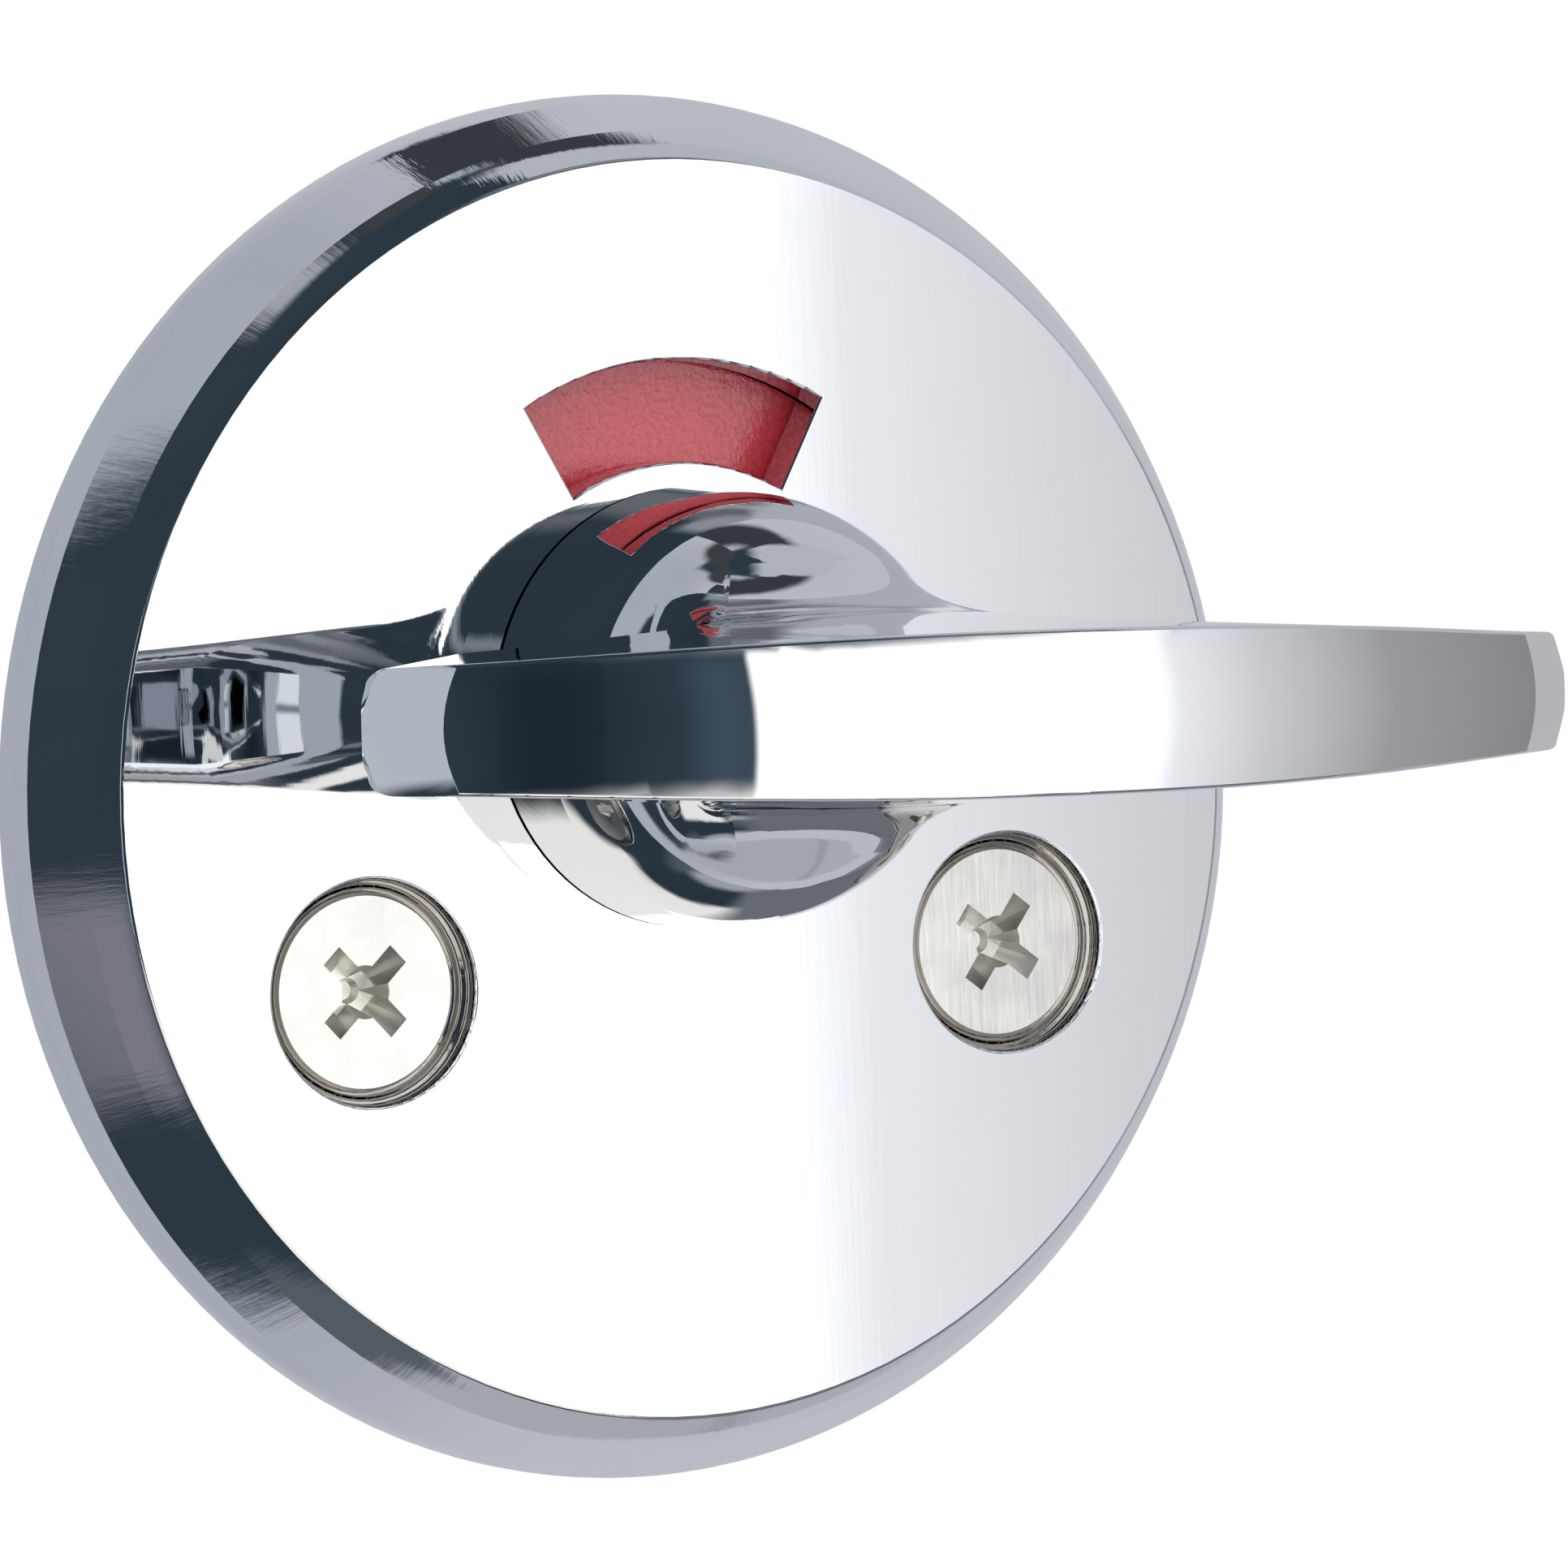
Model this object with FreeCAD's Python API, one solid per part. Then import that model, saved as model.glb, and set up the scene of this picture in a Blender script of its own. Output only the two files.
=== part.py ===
"""Round-rose privacy turn with an occupancy indicator window.

Frame: origin on the spindle axis where it crosses the door face, +Z up, the room side is -Y.
Lengths are millimetres. A place is given as x, z and a standoff: the distance in front of
the door face, so that y = -standoff.
"""
import FreeCAD, Part
import math
import os
from collections import namedtuple

os.makedirs("parts", exist_ok=True)

past = 1.0                      # how far a cutting shape runs past the faces it cuts

# rose
rose_radius = 32.5
rose_face_radius = 29.27
rose_thickness = 6.03
rose_rim_land = 1.4
rose_rim_round = 3.0            # between the rim land and the bevel
bevel_knee_radius = 30.62       # the bevel is bowed inside the knee and conical outside it
bevel_knee_standoff = 4.58
bevel_bow = 0.08
rose_drop = 3.8                 # the rose's centre lies this far below the spindle
rose_wall = 2.1                 # thickness of the flat face
rose_cavity_radius = 28.6
cavity_front = rose_thickness - rose_wall
rose_edge_round = 0.25

# indicator window, an arc slot above the boss
window_inner_radius = 11.39
window_outer_radius = 16.15
window_half_angle = 29.2
window_edge_round = 0.12

# fixing screws, M5 countersunk with a cross recess
screw_half_spacing = 17.0
screw_below_spindle = 12.1
screw_hole_radius = 5.22
screw_head_radius = 4.55
screw_head_standoff = 5.08
screw_head_land = 0.35
screw_shank_radius = 2.5
screw_neck_radius = 2.2
screw_plain_length = 4.0        # plain shank behind the door face, before the thread
screw_clearance_radius = 2.75
screw_seat_gap = 0.02
screw_length = 24.0
screw_pitch = 0.8
screw_thread_depth = 0.42
screw_turn_deg = {"left": 43.0, "right": 53.0}
recess_span = 4.9
recess_wing = 1.15
recess_depth = 2.3
recess_core_radius = 1.25
pillar_radius = 4.3

# back plate and the small screws that hold it
plate_thickness = 0.9
plate_radius = 28.4
plate_bore_radius = 6.8
plate_screw_circle = 25.0
plate_screw_angles = (30.0, 150.0, 270.0)
plate_screw_radius = 1.25
plate_screw_head_radius = 2.1
plate_screw_tip = 3.9
plate_boss_radius = 2.9

# turning shank, its bush and retaining parts
shank_radius = 7.0
shank_back = 1.0
flats_half_width = 6.2
flats_front = 2.93
spigot_radius = 5.5
spigot_depth = 4.0
bush_bore_radius = 7.05
bush_radius = 8.2
bush_flange_radius = 9.6
bush_flange_thickness = 0.6
washer_outer_radius = 9.2
washer_thickness = 0.2
clip_groove_radius = 6.3
clip_back = 1.78
clip_thickness = 0.5
clip_outer_radius = 8.4
clip_gap_half_angle = 28.0
clip_lug_radius = 1.5
clip_eye_radius = 0.6

# indicator disc
disc_back = 2.33
disc_thickness = 0.6
disc_hub_radius = 9.5
disc_fan_radius = 16.3
fan_start_deg = -32.0
fan_end_deg = 121.0
colour_plate_thickness = 0.4
colour_plate_inner_radius = 10.5
colour_plate_half_angle = 30.5
notch_radius = 0.9

# stops and detent
stop_pin_radius = 1.0
stop_pin_circle = 11.5
stop_pin_gap = 0.15
stop_pin_back = 1.9
stop_pin_seat = 1.0
travel_deg = 91.0
spring_thickness = 0.35
spring_back = 2.33
spring_height = 0.6
spring_level = 13.2
spring_half_length = 10.0
spring_hook = 2.2
spring_nose_half_width = 1.6
spring_nose_level = 9.08
post_radius = 1.1
post_half_spacing = 8.6

# spindle
spindle_side = 5.0
spindle_front = 19.5
spindle_back = 38.0
spindle_chamfer = 0.5
spindle_pin_radius = 0.75
spindle_pin_standoff = -2.2
spindle_pin_half_length = 5.25

# thumb turn
rest_tilt_deg = 1.3             # the locked turn rests this far past level, right end down
boss_foot_radius = 10.2
boss_radius = 9.95
boss_front_gap = 0.15
boss_ellipse_standoff = 10.2
boss_ellipse_length = 11.2
neck_half_width = 8.0
neck_root_half_width = 5.5
neck_root_standoff = 16.5
arm_front_standoff = 40.68
arm_front_radius = 64.0
arm_crown_radius = 20.0
arm_end_crown_radius = 15.0
arm_edge_x = 27.94
arm_tip_x = 30.85
arm_tip_standoff = 32.5
arm_heel_x = 21.6
arm_back_standoff = 22.4
arm_end_corner = 1.35
arm_back_widths = ((0.0, 4.95), (7.0, 4.5), (13.0, 3.8), (20.0, 3.14), (26.5, 2.88))
arm_front_widths = ((0.0, 3.44), (7.0, 3.42), (13.0, 3.32), (20.0, 3.09), (26.5, 2.76))
arm_back_section = 12.0
arm_front_section = 43.0
neck_round = 5.0
heel_round = 2.0
underside_round = 1.0
front_edge_round = 0.2
gusset_round = 8.0


def at(x, standoff, z):
    """Point from x, the distance in front of the door face, and z."""
    return FreeCAD.Vector(x, -standoff, z)


FRONT = FreeCAD.Vector(0, -1, 0)


def rod(radius, back, front, x=0.0, z=0.0):
    """Round bar along the spindle direction between two standoffs."""
    return Part.makeCylinder(radius, front - back, at(x, back, z), FRONT)


def taper(back_radius, front_radius, back, front, x=0.0, z=0.0):
    return Part.makeCone(back_radius, front_radius, front - back, at(x, back, z), FRONT)


def block(x0, x1, back, front, z0, z1):
    return Part.makeBox(x1 - x0, front - back, z1 - z0, FreeCAD.Vector(x0, -front, z0))


def revolved(edges):
    """Solid of revolution about the spindle axis from a closed half section."""
    face = Part.Face(Part.Wire(Part.__sortEdges__(edges)))
    return face.revolve(FreeCAD.Vector(0, 0, 0), FreeCAD.Vector(0, 1, 0), 360)


def turned(profile, x=0.0, z=0.0):
    """Solid of revolution from (radius, standoff) corners about an axis along Y."""
    corners = [at(radius, standoff, 0) for radius, standoff in profile]
    edges = [Part.makeLine(a, b) for a, b in zip(corners, corners[1:] + corners[:1])]
    return revolved(edges).translated(at(x, 0, z))


def on_circle(radius, angle_deg):
    """x and z on a circle about the spindle; 90 degrees is straight up."""
    angle = math.radians(angle_deg)
    return radius * math.cos(angle), radius * math.sin(angle)


def sector(inner, outer, start_deg, end_deg, back, front):
    """Arc-shaped plate about the spindle."""
    def point(radius, angle_deg):
        x, z = on_circle(radius, angle_deg)
        return at(x, back, z)
    middle = (start_deg + end_deg) / 2
    edges = [
        Part.Arc(point(outer, start_deg), point(outer, middle), point(outer, end_deg)).toShape(),
        Part.makeLine(point(outer, end_deg), point(inner, end_deg)),
        Part.Arc(point(inner, end_deg), point(inner, middle), point(inner, start_deg)).toShape(),
        Part.makeLine(point(inner, start_deg), point(outer, start_deg)),
    ]
    return Part.Face(Part.Wire(edges)).extrude(FRONT * (front - back))


def turn_about_spindle(shape, angle_deg):
    """Turn counter-clockwise as seen from the room side."""
    moved = shape.copy()
    moved.rotate(FreeCAD.Vector(0, 0, 0), FRONT, angle_deg)
    return moved


Span = namedtuple("Span", "near far back front low high")


def span(edge):
    """Least and greatest |x|, then the least and greatest standoff and z of an edge."""
    box = edge.BoundBox
    ends = sorted((abs(box.XMin), abs(box.XMax)))
    return Span(ends[0], ends[1], -box.YMax, -box.YMin, box.ZMin, box.ZMax)


def edges_where(shape, test):
    return [edge for edge in shape.Edges if test(edge)]


def write(node, shape):
    solids = shape.Solids
    body = solids[0] if len(solids) == 1 else Part.makeCompound(solids)
    body.exportStep("parts/" + node + ".step")
    print(node, len(solids), "solid(s)", round(shape.Volume, 1), "mm3", "valid", body.isValid())


def screw_places():
    return {
        "left": (-screw_half_spacing, -screw_below_spindle),
        "right": (screw_half_spacing, -screw_below_spindle),
    }


def plate_screw_places():
    places = []
    for angle in plate_screw_angles:
        x, z = on_circle(plate_screw_circle, angle)
        places.append((x, z - rose_drop))
    return places


def stop_pin_places():
    """One pin just outside the fan's edge at each end of the travel."""
    offset = math.degrees(math.asin((stop_pin_radius + stop_pin_gap) / stop_pin_circle))
    low = fan_start_deg - offset - rest_tilt_deg
    high = fan_end_deg + travel_deg + offset - rest_tilt_deg
    return {"locked": on_circle(stop_pin_circle, low), "open": on_circle(stop_pin_circle, high)}


def bevel_outline():
    """Half section of the cover: back, rim land, cone, bowed shoulder, face."""
    inner = FreeCAD.Vector(rose_face_radius, -rose_thickness, 0)
    knee = FreeCAD.Vector(bevel_knee_radius, -bevel_knee_standoff, 0)
    chord = knee.sub(inner).normalize()
    bowed = (inner + knee) * 0.5 + FreeCAD.Vector(-chord.y, chord.x, 0) * -bevel_bow
    corners = [at(0, rose_thickness, 0), at(0, 0, 0), at(rose_radius, 0, 0),
               at(rose_radius, rose_rim_land, 0), knee]
    sides = [Part.makeLine(a, b) for a, b in zip(corners, corners[1:])]
    return sides + [Part.Arc(knee, bowed, inner).toShape(), Part.makeLine(inner, corners[0])]


def rose_shell():
    """Bevelled face plate, hollow behind."""
    shell = revolved(bevel_outline()).translated(at(0, 0, -rose_drop))
    rim = edges_where(shell, lambda edge: abs(edge.BoundBox.YMin + rose_thickness) < 0.01
                      and edge.BoundBox.XLength > rose_radius)
    shell = shell.makeFillet(rose_edge_round, rim)
    shoulder = edges_where(shell, lambda edge: abs(edge.BoundBox.YMin + rose_rim_land) < 0.01
                           and abs(edge.BoundBox.YMax + rose_rim_land) < 0.01)
    shell = shell.makeFillet(rose_rim_round, shoulder)
    return shell.cut(rod(rose_cavity_radius, -past, cavity_front, z=-rose_drop))


def screw_seat(x, z):
    """Space for a fixing screw: clearance hole, 90 degree seat and the wide mouth above it."""
    cone_top = screw_head_standoff - screw_head_land - screw_seat_gap
    cone_foot = cone_top - (screw_head_radius - screw_clearance_radius)
    mouth = cone_top + (screw_hole_radius - screw_head_radius)
    hole = rod(screw_clearance_radius, -past, cone_foot, x, z)
    hole = hole.fuse(taper(screw_clearance_radius, screw_hole_radius, cone_foot, mouth, x, z))
    return hole.fuse(rod(screw_hole_radius, mouth, rose_thickness + past, x, z))


def rose_cover():
    """The shell with its pillars, screw bosses and spring posts, then every opening."""
    root = cavity_front + 0.2
    screws = screw_places().values()
    cover = rose_shell()
    for x, z in screws:
        cover = cover.fuse(rod(pillar_radius, plate_thickness, root, x, z))
    for x, z in plate_screw_places():
        cover = cover.fuse(rod(plate_boss_radius, plate_thickness, root, x, z))
    for side in (-1, 1):
        cover = cover.fuse(rod(post_radius, spring_back, root, side * post_half_spacing,
                               -spring_level - post_radius))
    cover = cover.cut(sector(window_inner_radius, window_outer_radius, 90 - window_half_angle,
                             90 + window_half_angle, cavity_front - past, rose_thickness + past))
    for x, z in screws:
        cover = cover.cut(screw_seat(x, z))
    for x, z in plate_screw_places():
        cover = cover.cut(rod(plate_screw_radius, plate_thickness - 0.1, plate_screw_tip, x, z))
    for x, z in stop_pin_places().values():
        cover = cover.cut(rod(stop_pin_radius, 0.0, cavity_front + stop_pin_seat, x, z))
    cover = cover.cut(rod(bush_radius, 0.0, rose_thickness + past))
    return cover.makeFillet(window_edge_round, edges_where(cover, is_front_opening_edge))


def is_front_opening_edge(edge):
    """Edges of the window and of the two screw holes in the flat face, not the bush's bore."""
    box = edge.BoundBox
    in_face = box.YLength < 0.001 and abs(box.YMin + rose_thickness) < 0.001
    small = box.XLength < window_outer_radius + past
    return in_face and small and box.Center.Length > bush_flange_radius


def back_plate():
    """Thin steel disc that closes the back of the cover."""
    head_height = plate_screw_head_radius - plate_screw_radius
    beyond = plate_thickness + past
    plate = rod(plate_radius, 0.0, plate_thickness, z=-rose_drop)
    plate = plate.cut(rod(plate_bore_radius, -past, beyond))
    for x, z in screw_places().values():
        plate = plate.cut(rod(screw_clearance_radius, -past, beyond, x, z))
    for x, z in plate_screw_places():
        plate = plate.cut(taper(plate_screw_head_radius, plate_screw_radius, 0.0, head_height, x, z))
        plate = plate.cut(rod(plate_screw_radius, -past, beyond, x, z))
    return plate


def plate_screws():
    """Three small countersunk screws, heads flush with the back of the plate."""
    head_height = plate_screw_head_radius - plate_screw_radius
    slot = plate_screw_radius * 0.28
    reach = plate_screw_radius * 1.1
    depth = 0.6
    solids = []
    for x, z in plate_screw_places():
        screw = taper(plate_screw_head_radius, plate_screw_radius, 0.0, head_height, x, z)
        screw = screw.fuse(rod(plate_screw_radius, head_height, plate_screw_tip - 0.1, x, z))
        recess = block(x - reach, x + reach, -past, depth, z - slot, z + slot)
        recess = recess.fuse(block(x - slot, x + slot, -past, depth, z - reach, z + reach))
        solids.append(screw.cut(recess).Solids[0])
    return Part.makeCompound(solids)


def wing_outline(standoff, reach, half_width):
    """Rectangle that one wing of a cross recess has at one depth."""
    corners = [at(0, standoff, -half_width), at(reach, standoff, -half_width),
               at(reach, standoff, half_width), at(0, standoff, half_width)]
    return Part.makePolygon(corners + corners[:1])


def cross_recess():
    """Cross recess in the XZ plane at the origin, its mouth at standoff 0."""
    lip = 0.05
    recess = taper(recess_core_radius * 0.35, recess_core_radius, -recess_depth, lip)
    mouth = wing_outline(lip, recess_span / 2, recess_wing / 2)
    foot = wing_outline(-recess_depth * 0.8, recess_span * 0.24, recess_wing * 0.36)
    wing = Part.makeLoft([mouth, foot], True, True)
    for turn in (0, 90, 180, 270):
        recess = recess.fuse(turn_about_spindle(wing, turn))
    return recess


def fixing_screw(side):
    """Countersunk screw whose thread is a row of rings at the real pitch and depth."""
    x, z = screw_places()[side]
    top = screw_head_standoff
    cone_top = top - screw_head_land
    cone_foot = cone_top - (screw_head_radius - screw_neck_radius)
    tip = top - screw_length
    edge_break = 0.15
    root_radius = screw_shank_radius - screw_thread_depth
    level = -screw_plain_length
    profile = [(0, top), (screw_head_radius - edge_break, top), (screw_head_radius, top - edge_break),
               (screw_head_radius, cone_top), (screw_neck_radius, cone_foot), (screw_neck_radius, 0),
               (screw_shank_radius, 0), (screw_shank_radius, level)]
    while level - screw_pitch > tip + screw_pitch:
        profile.append((root_radius, level - screw_pitch * 0.5))
        profile.append((screw_shank_radius, level - screw_pitch))
        level -= screw_pitch
    profile.append((root_radius, tip))
    profile.append((0, tip))
    recess = turn_about_spindle(cross_recess(), screw_turn_deg[side])
    recess.translate(FreeCAD.Vector(x, -top, z))
    return turned(profile, x, z).cut(recess)


def bearing_bush():
    """Flanged plastic bush that carries the shank in the cover."""
    flange_back = cavity_front - bush_flange_thickness
    nose = rose_thickness - 0.1
    return turned([(bush_bore_radius, flange_back), (bush_flange_radius, flange_back),
                   (bush_flange_radius, cavity_front), (bush_radius, cavity_front),
                   (bush_radius, nose), (bush_bore_radius, nose)])


def spring_washer():
    """Dished washer that keeps the disc pressed against its retaining clip."""
    back = disc_back + disc_thickness
    front = cavity_front - bush_flange_thickness - 0.03
    bore = shank_radius + 0.1
    return turned([(bore, front - washer_thickness), (washer_outer_radius, back),
                   (washer_outer_radius, back + washer_thickness), (bore, front)])


def flatted_bore(back, front):
    """Round bore with two flats that fits the back of the shank."""
    bore = rod(shank_radius, back, front)
    return bore.common(block(-flats_half_width, flats_half_width, back, front, -shank_radius, shank_radius))


def indicator_disc():
    """Hub and fan that carry the two colour plates; the hub has a notch for each end of travel."""
    back = disc_back
    front = disc_back + disc_thickness
    disc = rod(disc_hub_radius, back, front)
    disc = disc.fuse(sector(shank_radius, disc_fan_radius, fan_start_deg, fan_end_deg, back, front))
    disc = disc.cut(flatted_bore(back - past, front + past))
    for angle in (270.0, 270.0 - travel_deg):
        x, z = on_circle(disc_hub_radius + notch_radius * 0.35, angle)
        disc = disc.cut(rod(notch_radius, back - past, front + past, x, z))
    return disc.removeSplitter()


def colour_plate(centre_deg):
    """Thin painted plate on the front of the disc."""
    back = disc_back + disc_thickness
    return sector(colour_plate_inner_radius, disc_fan_radius - 0.1, centre_deg - colour_plate_half_angle,
                  centre_deg + colour_plate_half_angle, back, back + colour_plate_thickness)


def retaining_clip():
    """Open ring with two eyed lugs, in the groove behind the disc."""
    front = clip_back + clip_thickness
    start = 270.0 + clip_gap_half_angle
    end = 270.0 + 360.0 - clip_gap_half_angle
    clip = sector(clip_groove_radius, clip_outer_radius, start, end, clip_back, front)
    lug_circle = (clip_groove_radius + clip_outer_radius) / 2 + 0.5
    for angle in (start, end):
        x, z = on_circle(lug_circle, angle)
        clip = clip.fuse(rod(clip_lug_radius, clip_back, front, x, z))
    clip = clip.cut(rod(clip_groove_radius, clip_back - past, front + past))
    for angle in (start, end):
        x, z = on_circle(lug_circle + 0.15, angle)
        clip = clip.cut(rod(clip_eye_radius, clip_back - past, front + past, x, z))
    return clip.removeSplitter()


def stop_pin(name):
    x, z = stop_pin_places()[name]
    return rod(stop_pin_radius, stop_pin_back, cavity_front + stop_pin_seat, x, z)


def detent_spring():
    """Strip on edge below the disc's hub, hooked over two posts, its nose in the hub's notch."""
    level = -spring_level + spring_thickness / 2
    left = [(-spring_half_length, level - spring_hook), (-spring_half_length, level),
            (-spring_nose_half_width, level), (0.0, -spring_nose_level - spring_thickness / 2)]
    path = left + [(-x, z) for x, z in reversed(left[:-1])]
    wire = Part.makePolygon([at(x, spring_back, z) for x, z in path])
    face = wire.makeOffset2D(spring_thickness / 2, 0, True, True)
    return face.extrude(FRONT * spring_height)


def spindle():
    """Square bar with chamfered ends."""
    half = spindle_side / 2
    bar = block(-half, half, -spindle_back, spindle_front, -half, half)
    ends = edges_where(bar, lambda edge: edge.BoundBox.YLength < 0.01)
    bar = bar.makeChamfer(spindle_chamfer, ends)
    return bar.cut(cross_pin_hole())


def cross_pin_hole():
    return cross_rod(spigot_radius + past)


def spindle_pin():
    """Pin through the spigot and the spindle."""
    return cross_rod(spindle_pin_half_length)


def cross_rod(half_length):
    return Part.makeCylinder(spindle_pin_radius, 2 * half_length,
                             at(-half_length, spindle_pin_standoff, 0), FreeCAD.Vector(1, 0, 0))


def boss():
    """Dome that rises from the rose: a straight foot under half an ellipsoid."""
    foot = rose_thickness + boss_front_gap
    start = at(boss_radius, boss_ellipse_standoff, 0)
    top = at(0, boss_ellipse_standoff + boss_ellipse_length, 0)
    ellipse = Part.Ellipse(top, start, at(0, boss_ellipse_standoff, 0))
    first = ellipse.parameter(top)
    last = ellipse.parameter(start)
    edges = [
        Part.makeLine(at(0, foot, 0), at(boss_foot_radius, foot, 0)),
        Part.makeLine(at(boss_foot_radius, foot, 0), start),
        ellipse.toShape(min(first, last), max(first, last)),
        Part.makeLine(top, at(0, foot, 0)),
    ]
    return revolved(edges)


def arm_section(standoff, widths, end_x):
    """Closed lens-shaped outline of both arms at one standoff, with rounded corners."""
    stations = [(-x, width) for x, width in reversed(widths[1:])] + list(widths)
    corner = arm_end_corner
    end_width = widths[-1][1] - 0.12
    top_points = [at(-end_x + corner, standoff, end_width)]
    top_points += [at(x, standoff, width) for x, width in stations]
    top_points.append(at(end_x - corner, standoff, end_width))
    top = Part.BSplineCurve()
    top.interpolate(top_points)
    bottom = Part.BSplineCurve()
    bottom.interpolate([FreeCAD.Vector(p.x, p.y, -p.z) for p in reversed(top_points)])
    slant = corner * (1 - math.sqrt(0.5))

    def end_edges(side):
        high = at(side * (end_x - corner), standoff, end_width)
        high_mid = at(side * (end_x - slant), standoff, end_width - slant)
        high_end = at(side * end_x, standoff, end_width - corner)
        low_end = at(side * end_x, standoff, -end_width + corner)
        low_mid = at(side * (end_x - slant), standoff, -end_width + slant)
        low = at(side * (end_x - corner), standoff, -end_width)
        return [Part.Arc(high, high_mid, high_end).toShape(), Part.makeLine(high_end, low_end),
                Part.Arc(low_end, low_mid, low).toShape()]
    edges = [top.toShape()] + end_edges(1) + [bottom.toShape()] + list(reversed(end_edges(-1)))
    return Part.Wire(Part.__sortEdges__(edges))


def arm_plan():
    """Outline of the arms seen from above, extruded in height. Its front runs past the crown."""
    run = 14.0
    slope = (arm_tip_standoff - arm_edge_standoff()) / (arm_tip_x - arm_edge_x)
    right = [(neck_root_half_width, neck_root_standoff), (neck_half_width, arm_back_standoff),
             (arm_heel_x, arm_back_standoff), (arm_tip_x, arm_tip_standoff),
             (arm_edge_x - run, arm_edge_standoff() - slope * run)]
    left = [(-x, standoff) for x, standoff in reversed(right)]
    points = [at(x, standoff, -10.0) for x, standoff in left + right]
    face = Part.Face(Part.makePolygon(points + points[:1]))
    return face.extrude(FreeCAD.Vector(0, 0, 20.0))


def arm_edge_standoff():
    """Standoff of the crowned front where it meets the end facet."""
    return arm_front_standoff - arm_front_radius + math.sqrt(arm_front_radius ** 2 - arm_edge_x ** 2)


def crowned_front():
    """Puck whose rim is the front of the arms: bowed along the arms and crowned across."""
    axis_standoff = arm_front_standoff - arm_front_radius
    half = 9.0
    sink = arm_crown_radius - math.sqrt(arm_crown_radius ** 2 - half ** 2)
    low = at(0, arm_front_standoff - sink, -half)
    high = at(0, arm_front_standoff - sink, half)
    rim = Part.Arc(low, at(0, arm_front_standoff, 0), high).toShape()
    edges = [rim, Part.makeLine(high, at(0, axis_standoff, half)),
             Part.makeLine(at(0, axis_standoff, half), at(0, axis_standoff, -half)),
             Part.makeLine(at(0, axis_standoff, -half), low)]
    face = Part.Face(Part.Wire(Part.__sortEdges__(edges)))
    return face.revolve(at(0, axis_standoff, 0), FreeCAD.Vector(0, 0, 1), 360)


def end_facet_waste(side):
    """What lies outside the slightly crowned end facet of one arm."""
    edge = at(side * arm_edge_x, arm_edge_standoff(), 0)
    tip = at(side * arm_tip_x, arm_tip_standoff, 0)
    along = tip.sub(edge).normalize()
    outward = along.cross(FreeCAD.Vector(0, 0, 1)) * side
    run_in = 9.0
    depth = 3.0
    start = edge - along * run_in
    crown = Part.makeCylinder(arm_end_crown_radius, 4 * run_in,
                              start - outward * arm_end_crown_radius - along, along)
    corner = start - outward * depth - FreeCAD.Vector(0, 0, 6.0)
    slab_face = Part.Face(Part.makePolygon([
        corner, corner + along * 2 * run_in, corner + along * 2 * run_in + outward * 4 * depth,
        corner + outward * 4 * depth, corner]))
    return slab_face.extrude(FreeCAD.Vector(0, 0, 12.0)).cut(crown)


def arms():
    back = arm_section(arm_back_section, arm_back_widths, arm_tip_x)
    front = arm_section(arm_front_section, arm_front_widths, arm_tip_x)
    flanks = Part.makeLoft([back, front], True, True)
    solid = flanks.common(arm_plan()).common(crowned_front())
    for side in (-1, 1):
        solid = solid.cut(end_facet_waste(side))
    solid = solid.makeFillet(neck_round, edges_where(solid, is_upright_at(neck_half_width)))
    solid = solid.makeFillet(heel_round, edges_where(solid, is_upright_at(arm_heel_x)))
    solid = solid.makeFillet(underside_round, edges_where(solid, is_underside_edge))
    return solid.makeFillet(front_edge_round, edges_where(solid, is_front_edge))


def is_upright_at(x):
    """Edges parallel to Z on the arms' underside at one distance from the middle."""
    def test(edge):
        box = span(edge)
        upright = box.far - box.near < 0.05 and box.front - box.back < 0.05 and box.high - box.low > 3.0
        return upright and abs(box.far - x) < 0.05 and abs(box.back - arm_back_standoff) < 0.05
    return test


def is_underside_edge(edge):
    """Long edges between the arms' flanks and their underside, heel to tip."""
    box = span(edge)
    one_flank = box.low * box.high > 0 and max(abs(box.low), abs(box.high)) > 2.0
    return one_flank and box.back > neck_root_standoff + 0.2 and box.front < arm_tip_standoff - 0.1


def is_front_edge(edge):
    """Edges around the crowned front: along each flank and across each end."""
    box = span(edge)
    length = edge.BoundBox.XLength
    along_flank = length > 10.0 and box.low * box.high > 0
    across_end = length < 1.2 and box.front < arm_tip_standoff + 2.2
    return box.back > arm_tip_standoff + 1.0 and (along_flank or across_end)


def is_gusset_edge(edge):
    """Where the neck of the arms meets the dome."""
    box = span(edge)
    return box.back > 12.0 and box.front < 22.0 and box.far < neck_half_width + 0.2


def turn_handle():
    """One casting: arms, domed boss, shank, spigot and the square socket for the spindle."""
    body = arms().fuse(boss())
    body = body.makeFillet(gusset_round, edges_where(body, is_gusset_edge))
    body = body.fuse(shank()).fuse(rod(spigot_radius, -spigot_depth, shank_back))
    half = spindle_side / 2
    body = body.cut(block(-half, half, -spigot_depth - past, spindle_front, -half, half))
    return body.cut(cross_pin_hole()).removeSplitter()


def shank():
    """Round shank with a groove for the clip and two flats for the disc."""
    beyond = shank_radius + past
    clip_front = clip_back + clip_thickness
    bar = rod(shank_radius, shank_back, rose_thickness + boss_front_gap)
    bar = bar.cut(rod(beyond, clip_back, clip_front).cut(rod(clip_groove_radius, clip_back, clip_front)))
    for low, high in ((-beyond, -flats_half_width), (flats_half_width, beyond)):
        bar = bar.cut(block(low, high, shank_back, flats_front, -shank_radius, shank_radius))
    return bar


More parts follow.
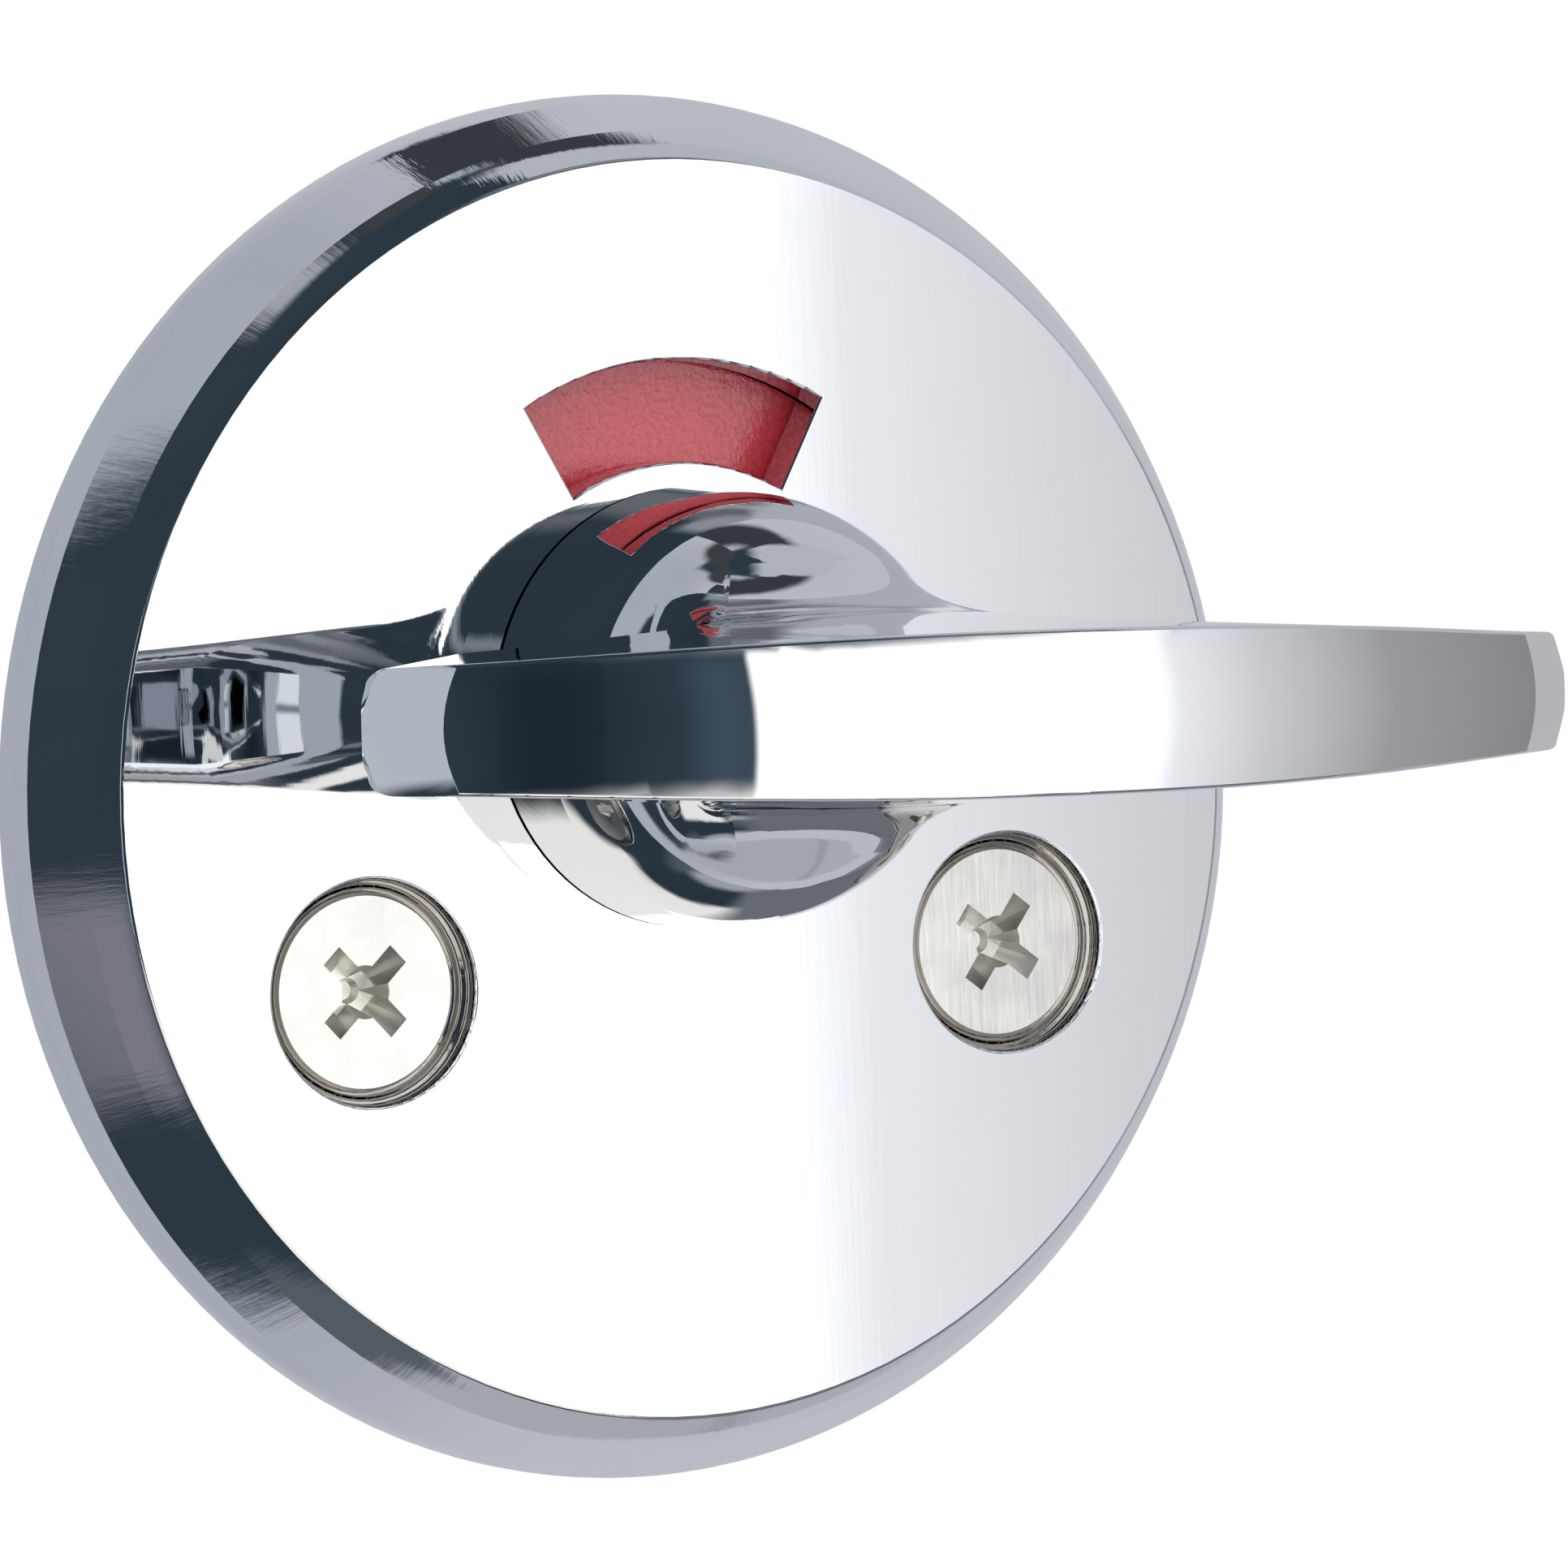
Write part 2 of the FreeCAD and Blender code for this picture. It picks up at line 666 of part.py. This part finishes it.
def main():
    fixed = {
        "rose_cover": rose_cover(),
        "bearing_bush": bearing_bush(),
        "back_plate": back_plate(),
        "back_plate_screws": plate_screws(),
        "stop_pin_locked": stop_pin("locked"),
        "stop_pin_open": stop_pin("open"),
        "detent_spring": detent_spring(),
        "fixing_screw_left": fixing_screw("left"),
        "fixing_screw_right": fixing_screw("right"),
    }
    turning = {
        "turn_handle": turn_handle(),
        "spindle": spindle(),
        "spindle_pin": spindle_pin(),
        "indicator_disc": indicator_disc(),
        "red_indicator": colour_plate(90.0),
        "white_indicator": colour_plate(90.0 - travel_deg),
        "spring_washer": spring_washer(),
        "retaining_clip": retaining_clip(),
    }
    for node, shape in fixed.items():
        write(node, shape)
    for node, shape in turning.items():
        write(node, turn_about_spindle(shape, -rest_tilt_deg))


main()
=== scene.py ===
"""Looks of a round-rose privacy turn with an indicator window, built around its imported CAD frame.

Lengths are in metres in the CAD frame: the origin is on the spindle axis at the door face, +Z is up and
the room side is -Y.
"""
import bpy
import math
from mathutils import Matrix, Vector


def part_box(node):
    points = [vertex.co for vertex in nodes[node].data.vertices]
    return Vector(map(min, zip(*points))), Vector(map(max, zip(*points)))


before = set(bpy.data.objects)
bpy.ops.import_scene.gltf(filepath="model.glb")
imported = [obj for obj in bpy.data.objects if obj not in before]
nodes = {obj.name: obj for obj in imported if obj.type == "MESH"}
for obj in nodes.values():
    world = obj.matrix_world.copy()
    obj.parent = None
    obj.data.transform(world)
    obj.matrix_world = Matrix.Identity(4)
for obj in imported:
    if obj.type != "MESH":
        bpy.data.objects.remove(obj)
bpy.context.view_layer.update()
scene = bpy.context.scene
scene.view_settings.view_transform = "Standard"

# Places on the rose. The pairs are the start and the end of a soft step.
ROSE_CENTRE_Z = (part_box("rose_cover")[0][2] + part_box("rose_cover")[1][2]) / 2
SCREW_X, SCREW_Z = 0.0170, -0.0121
FACE_TO_BEVEL = (0.02915, 0.0294)
OUTSIDE_TO_HOLE = (0.00531, 0.00525)
FACE_TO_HOLE_WALL = (-0.00592, -0.00580)
RIDGE_PITCH = 0.0004

TENT_RADIUS = 0.15
FLOOR_RADIUS = 1.4
FLOOR_Z = -0.25
TO_DEGREES = 180 / math.pi


# ---------------------------------------------------------------- shader graph helpers

class Graph:
    """Short way to add and wire shader nodes."""

    def __init__(self, tree):
        self.tree = tree
        tree.nodes.clear()

    def node(self, kind, inputs=None, **settings):
        made = self.tree.nodes.new(kind)
        for name, value in settings.items():
            setattr(made, name, value)
        for name, value in (inputs or {}).items():
            self.feed(made.inputs[name], value)
        return made

    def feed(self, socket, value):
        """Link a socket, or set its own number or colour."""
        if isinstance(value, bpy.types.NodeSocket):
            self.tree.links.new(value, socket)
        elif isinstance(value, (tuple, list)) and len(value) == 3 and socket.type == "RGBA":
            socket.default_value = (*value, 1.0)
        else:
            socket.default_value = value

    def math(self, operation, a, b=0.0):
        made = self.node("ShaderNodeMath", operation=operation)
        self.feed(made.inputs[0], a)
        self.feed(made.inputs[1], b)
        return made.outputs[0]

    def step(self, value, start, end):
        """0 at start, 1 at end, eased in between; start may be the larger."""
        made = self.node("ShaderNodeMapRange", interpolation_type="SMOOTHSTEP", clamp=True)
        low, high = min(start, end), max(start, end)
        at_low, at_high = (0.0, 1.0) if start < end else (1.0, 0.0)
        for name, number in (("From Min", low), ("From Max", high), ("To Min", at_low), ("To Max", at_high)):
            made.inputs[name].default_value = number
        self.feed(made.inputs["Value"], value)
        return made.outputs["Result"]

    def band(self, value, start, end, soft):
        """1 between start and end, with both edges softened."""
        return self.math("MULTIPLY", self.step(value, start - soft, start + soft),
                         self.step(value, end + soft, end - soft))

    def mix(self, factor, a, b):
        made = self.node("ShaderNodeMix", data_type="RGBA")
        self.feed(made.inputs[0], factor)
        self.feed(made.inputs[6], a)
        self.feed(made.inputs[7], b)
        return made.outputs[2]

    def noise(self, vector, scale, detail=2.0, roughness=0.5):
        return self.node("ShaderNodeTexNoise", {"Vector": vector, "Scale": scale, "Detail": detail,
                                                "Roughness": roughness}).outputs["Fac"]

    def stretched(self, vector, scale):
        made = self.node("ShaderNodeVectorMath", operation="MULTIPLY")
        self.feed(made.inputs[0], vector)
        made.inputs[1].default_value = scale
        return made.outputs[0]

    def bump(self, height, strength, distance, normal=None):
        made = self.node("ShaderNodeBump", {"Height": height, "Strength": strength, "Distance": distance})
        if normal is not None:
            self.feed(made.inputs["Normal"], normal)
        return made.outputs["Normal"]


def new_material(name):
    material = bpy.data.materials.new(name)
    material.use_nodes = True
    graph = Graph(material.node_tree)
    shader = graph.node("ShaderNodeBsdfPrincipled")
    output = graph.node("ShaderNodeOutputMaterial")
    graph.tree.links.new(shader.outputs["BSDF"], output.inputs["Surface"])
    return material, graph, shader


def object_point(graph):
    return graph.node("ShaderNodeTexCoord").outputs["Object"]


def split(graph, point):
    return graph.node("ShaderNodeSeparateXYZ", {"Vector": point}).outputs


def polar(graph, point, centre_x, centre_z):
    """Distance from an axis along Y and the angle round it."""
    x, _, z = split(graph, point)
    along = graph.math("SUBTRACT", x, centre_x)
    above = graph.math("SUBTRACT", z, centre_z)
    distance = graph.math("SQRT", graph.math("ADD", graph.math("MULTIPLY", along, along),
                                             graph.math("MULTIPLY", above, above)))
    return distance, graph.math("ARCTAN2", above, along)


def shaded(colour, factor):
    return tuple(factor * part for part in colour)


# ---------------------------------------------------------------- materials

def chrome(name):
    """Mirror chrome with a faint haze and slightly wavy polishing."""
    material, graph, shader = new_material(name)
    point = object_point(graph)
    haze = graph.noise(point, scale=60.0)
    wave = graph.noise(point, scale=90.0, detail=1.0)
    graph.feed(shader.inputs["Base Color"], graph.mix(haze, (0.845, 0.86, 0.875), (0.87, 0.88, 0.89)))
    shader.inputs["Metallic"].default_value = 1.0
    graph.feed(shader.inputs["Roughness"], graph.math("MULTIPLY", haze, 0.05))
    graph.feed(shader.inputs["Normal"], graph.bump(wave, strength=0.02, distance=0.0004))
    return material, graph, shader


def rose_chrome():
    """Chrome that still shows the brush: upright on the face, round the bevel; ridged screw holes with
    painted shade on their walls.
    """
    material, graph, shader = chrome("rose_chrome")
    point = object_point(graph)
    _, y, _ = split(graph, point)
    distance, angle = polar(graph, point, 0.0, ROSE_CENTRE_Z)

    upright = graph.noise(graph.stretched(point, (3200.0, 3200.0, 90.0)),
                          scale=1.0, detail=3.0, roughness=0.6)
    round_axis = graph.node("ShaderNodeCombineXYZ", {"X": graph.math("MULTIPLY", angle, 42.0), "Y": 0.0,
                                                     "Z": graph.math("MULTIPLY", distance, 260.0)}).outputs[0]
    spokes = graph.noise(round_axis, scale=1.0, detail=4.0, roughness=0.65)
    on_bevel = graph.step(distance, *FACE_TO_BEVEL)
    on_face = graph.math("SUBTRACT", 1.0, on_bevel)
    face = graph.bump(graph.math("MULTIPLY", upright, on_face), strength=0.01, distance=0.0001)
    brushed = graph.bump(graph.math("MULTIPLY", spokes, on_bevel),
                         strength=0.08, distance=0.0002, normal=face)

    ridges = graph.math("SINE", graph.math("MULTIPLY", y, 2 * math.pi / RIDGE_PITCH))
    near_left, near_right = (graph.step(polar(graph, point, x, SCREW_Z)[0], *OUTSIDE_TO_HOLE)
                             for x in (-SCREW_X, SCREW_X))
    near_screw = graph.math("MAXIMUM", near_left, near_right)
    hole_ridges = graph.math("MULTIPLY", ridges, near_screw)
    ridged = graph.bump(hole_ridges, strength=0.6, distance=0.0001, normal=brushed)
    graph.feed(shader.inputs["Normal"], ridged)
    bright = shader.inputs["Base Color"].links[0].from_socket
    # painted shade: the walls inside the screw holes are given a dull grey brown in place of the chrome
    # colour
    hole_wall_shade = graph.math("MULTIPLY", near_screw, graph.step(y, *FACE_TO_HOLE_WALL))
    graph.feed(shader.inputs["Base Color"], graph.mix(hole_wall_shade, bright, (0.50, 0.47, 0.44)))
    return material


def satin_metal(name, colour, roughness, lines):
    """Plated metal with fine turned or drawn lines."""
    material, graph, shader = new_material(name)
    point = object_point(graph)
    patch = graph.noise(point, scale=400.0, detail=3.0)
    scratches = graph.noise(graph.stretched(point, (lines, 300.0, lines * 0.08)),
                            scale=1.0, detail=3.0, roughness=0.6)
    tone = graph.mix(graph.step(patch, 0.3, 0.7), shaded(colour, 0.86), colour)
    graph.feed(shader.inputs["Base Color"], tone)
    shader.inputs["Metallic"].default_value = 1.0
    graph.feed(shader.inputs["Roughness"], graph.math("ADD", roughness, graph.math("MULTIPLY", patch, 0.08)))
    graph.feed(shader.inputs["Normal"], graph.bump(scratches, strength=0.25, distance=0.00006))
    return material


def enamel(name, colour):
    """Powder coat with a fine orange-peel surface under a clear gloss."""
    material, graph, shader = new_material(name)
    point = object_point(graph)
    grain = graph.noise(point, scale=3600.0, detail=2.0, roughness=0.6)
    swell = graph.noise(point, scale=1100.0, detail=1.0)
    tone = graph.mix(graph.step(grain, 0.3, 0.65), shaded(colour, 0.72), colour)
    graph.feed(shader.inputs["Base Color"], tone)
    graph.feed(shader.inputs["Roughness"], graph.math("ADD", 0.24, graph.math("MULTIPLY", grain, 0.16)))
    shader.inputs["IOR"].default_value = 1.6
    shader.inputs["Coat Weight"].default_value = 1.0
    shader.inputs["Coat Roughness"].default_value = 0.16
    shader.inputs["Coat IOR"].default_value = 1.6
    fine_peel = graph.bump(grain, strength=0.8, distance=0.00004)
    peel = graph.bump(swell, strength=0.3, distance=0.00006, normal=fine_peel)
    graph.feed(shader.inputs["Normal"], peel)
    graph.feed(shader.inputs["Coat Normal"], peel)
    return material


def nylon(name, colour):
    """Cloudy, slightly grainy moulded plastic."""
    material, graph, shader = new_material(name)
    point = object_point(graph)
    cloud = graph.noise(point, scale=500.0, detail=3.0)
    graph.feed(shader.inputs["Base Color"], graph.mix(cloud, shaded(colour, 0.9), colour))
    graph.feed(shader.inputs["Roughness"], graph.math("ADD", 0.4, graph.math("MULTIPLY", cloud, 0.12)))
    grain = graph.noise(point, scale=3000.0)
    graph.feed(shader.inputs["Normal"], graph.bump(grain, strength=0.2, distance=0.00005))
    return material


looks = {
    "rose_cover": rose_chrome(),
    "turn_handle": chrome("turn_chrome")[0],
    "red_indicator": enamel("red_enamel", (0.97, 0.070, 0.100)),
    "white_indicator": enamel("white_enamel", (0.80, 0.80, 0.78)),
    "bearing_bush": nylon("natural_nylon", (0.80, 0.79, 0.74)),
}
screw_nickel = satin_metal("screw_nickel", (0.96, 0.94, 0.89), roughness=0.26, lines=2600.0)
zinc = satin_metal("zinc_plate", (0.66, 0.67, 0.69), roughness=0.30, lines=1500.0)
spring = satin_metal("spring_steel", (0.40, 0.40, 0.42), roughness=0.26, lines=2000.0)
for name in ("fixing_screw_left", "fixing_screw_right"):
    looks[name] = screw_nickel
for name in ("indicator_disc", "back_plate", "back_plate_screws", "spindle"):
    looks[name] = zinc
for name in ("spindle_pin", "spring_washer", "retaining_clip", "detent_spring",
             "stop_pin_locked", "stop_pin_open"):
    looks[name] = spring
for name, look in looks.items():
    nodes[name].data.materials.clear()
    nodes[name].data.materials.append(look)


# ---------------------------------------------------------------- studio

def glow_material(name, make_colour):
    """Plain emission, coloured by the place on the mesh."""
    material = bpy.data.materials.new(name)
    material.use_nodes = True
    material.cycles.emission_sampling = "NONE"
    graph = Graph(material.node_tree)
    colour = make_colour(graph, object_point(graph))
    glow = graph.node("ShaderNodeEmission", {"Color": colour, "Strength": 1.0})
    output = graph.node("ShaderNodeOutputMaterial")
    graph.tree.links.new(glow.outputs[0], output.inputs["Surface"])
    return material


def wall_fall_off(graph, azimuth):
    """Bright end of the right wall fading to grey, then a lighter strip at its far end."""
    start, span = 30.0, 60.0
    stops = ((0.0, 1.35), (0.05, 0.93), (0.20, 0.66), (0.43, 0.37), (0.85, 0.24), (0.87, 0.50), (1.0, 0.58))
    cool_grey = (0.985, 0.99, 1.03)
    along = graph.math("DIVIDE", graph.math("SUBTRACT", azimuth, start), span)
    ramp = graph.node("ShaderNodeValToRGB", {"Fac": along})
    while len(ramp.color_ramp.elements) < len(stops):
        ramp.color_ramp.elements.new(0.5)
    for element, (place, tone) in zip(ramp.color_ramp.elements, stops):
        element.position = place
        element.color = (*shaded(cool_grey, tone), 1.0)
    return ramp.outputs["Color"]


def tent_colour(graph, point):
    """Soft panels of the light tent, by azimuth (0 = out from the door, + to the right) and elevation."""
    unit = graph.node("ShaderNodeVectorMath", {0: point}, operation="NORMALIZE").outputs[0]
    x, y, z = split(graph, unit)
    azimuth = graph.math("MULTIPLY", graph.math("ARCTAN2", x, graph.math("MULTIPLY", y, -1.0)), TO_DEGREES)
    rise = graph.math("MULTIPLY", graph.math("ARCSINE", z), TO_DEGREES)
    colour = graph.mix(graph.noise(unit, scale=3.0), (0.024, 0.038, 0.052), (0.034, 0.052, 0.070))

    def panel(west, east, low, high, tone, soft, fade):
        """Lay a panel over the rest, all in degrees; soft blurs its sides, fade its top and bottom."""
        nonlocal colour
        across = graph.band(azimuth, west, east, soft)
        inside = graph.math("MULTIPLY", across, graph.band(rise, low, high, fade))
        colour = graph.mix(inside, colour, tone)

    # dim cloth over the open front, and low on the left
    panel(14, 36, 17, 56, (0.15, 0.165, 0.18), 5, 4)
    panel(22, 40, 40, 46, (0.33, 0.35, 0.37), 4, 2)
    panel(-24, 34, 12.5, 15.5, (0.26, 0.29, 0.32), 4, 1.5)
    panel(4, 60, 54, 64, (0.32, 0.34, 0.37), 6, 3)
    panel(-96, -60, -36, -11, (0.21, 0.21, 0.245), 6, 4)
    # right wall above and below its bright strip
    panel(36, 99, 12, 84, (0.49, 0.51, 0.55), 4, 3)
    panel(24, 58, -68, -12, (0.17, 0.185, 0.205), 5, 4)
    panel(60, 115, -66, -12, (0.44, 0.46, 0.49), 6, 4)
    # darkest and least dark part of the front, seen in the middle of the turn
    panel(-25, -15, -22, 12, (0.014, 0.023, 0.034), 4, 4)
    panel(-9, -4, -15, 12, (0.052, 0.080, 0.112), 2, 3)
    # left panel with its seam
    panel(-38, -30, -13, 15, (0.49, 0.53, 0.59), 1.2, 1.2)
    panel(-57, -38, -15, 16, (0.98, 1.0, 1.03), 1.2, 1.2)
    panel(-57, -38, 0.0, 2.0, (0.26, 0.29, 0.33), 1.2, 0.8)
    # open front and the pale ground below it
    panel(-27, 25, -47, -14, (1.02, 1.0, 0.95), 4, 3)
    panel(-4.3, 33.5, -26, 12.5, (1.35, 1.35, 1.36), 0.35, 1.0)
    panel(30.0, 97.0, -22.0, 13.0, wall_fall_off(graph, azimuth), 0.3, 3.0)
    # cloth above and below
    panel(-110, -68, 62, 74, (0.40, 0.41, 0.43), 8, 4)
    colour = graph.mix(graph.step(rise, -63.0, -68.0), colour, (0.42, 0.44, 0.47))
    panel(-104, -26, -80, -60, (0.10, 0.12, 0.14), 8, 4)
    # cloth behind the plane of the door, lighter on the right
    past_door = graph.math("ADD", y, graph.math("MULTIPLY", z, 0.06))
    cloudy = graph.noise(unit, scale=2.5)
    left = graph.mix(cloudy, (0.39, 0.425, 0.49), (0.46, 0.485, 0.54))
    right = graph.mix(cloudy, (0.50, 0.525, 0.575), (0.57, 0.585, 0.62))
    behind = graph.mix(graph.step(x, -0.35, 0.25), left, right)
    colour = graph.mix(graph.step(past_door, 0.075, 0.125), colour, behind)
    # openings at the top of the tent
    panel(93, 182, 66, 84, (0.04, 0.047, 0.055), 4, 3)
    panel(-182, -60, 79, 91, (0.05, 0.055, 0.06), 4, 2)
    return colour


def light_tent():
    """Small round light tent: only mirror and glossy rays meet it."""
    bpy.ops.mesh.primitive_uv_sphere_add(segments=96, ring_count=48, radius=TENT_RADIUS)
    tent = bpy.context.object
    tent.name = "light_tent"
    tent.data.materials.append(glow_material("tent_cloth", tent_colour))
    for flag in ("visible_camera", "visible_diffuse", "visible_shadow", "visible_transmission"):
        setattr(tent, flag, False)


def plain_floor():
    """Pale disc well under the part, out of the main view."""
    bpy.ops.mesh.primitive_circle_add(vertices=96, radius=FLOOR_RADIUS, fill_type="NGON",
                                      location=(0, 0, FLOOR_Z))
    floor = bpy.context.object
    floor.name = "floor"
    material, graph, shader = new_material("floor_paint")
    cloud = graph.noise(object_point(graph), scale=6.0, detail=3.0)
    graph.feed(shader.inputs["Base Color"], graph.mix(cloud, (0.80, 0.80, 0.80), (0.84, 0.84, 0.84)))
    shader.inputs["Roughness"].default_value = 0.7
    floor.data.materials.append(material)


def white_surround():
    """Plain white behind the part, which also lights the painted pieces."""
    world = bpy.data.worlds.new("white_surround")
    scene.world = world
    world.use_nodes = True
    graph = Graph(world.node_tree)
    background = graph.node("ShaderNodeBackground", {"Color": (1.0, 1.0, 1.0), "Strength": 1.0})
    output = graph.node("ShaderNodeOutputWorld")
    graph.tree.links.new(background.outputs[0], output.inputs["Surface"])


light_tent()
plain_floor()
white_surround()


# ---------------------------------------------------------------- camera

def place_camera():
    """Long lens on the left of the front, almost level with the turn."""
    place = (-0.183660, -0.326644, 0.011628)
    yaw, pitch, roll = 0.53287213, -0.04542935, 0.04265102
    data = bpy.data.cameras.new("camera")
    camera = bpy.data.objects.new("camera", data)
    scene.collection.objects.link(camera)
    forward = Vector((math.sin(yaw) * math.cos(pitch), math.cos(yaw) * math.cos(pitch), math.sin(pitch)))
    side = Vector((math.cos(yaw), -math.sin(yaw), 0.0))
    down = forward.cross(side)
    right = math.cos(roll) * side + math.sin(roll) * down
    below = -math.sin(roll) * side + math.cos(roll) * down
    axes = Matrix((right, -below, -forward)).transposed()
    camera.matrix_world = Matrix.Translation(place) @ axes.to_4x4()
    data.sensor_width = 36.0
    data.lens = 182.81
    data.shift_x = -0.00592
    data.shift_y = 0.01906
    data.clip_start = 0.01
    data.clip_end = 100.0
    scene.camera = camera


place_camera()
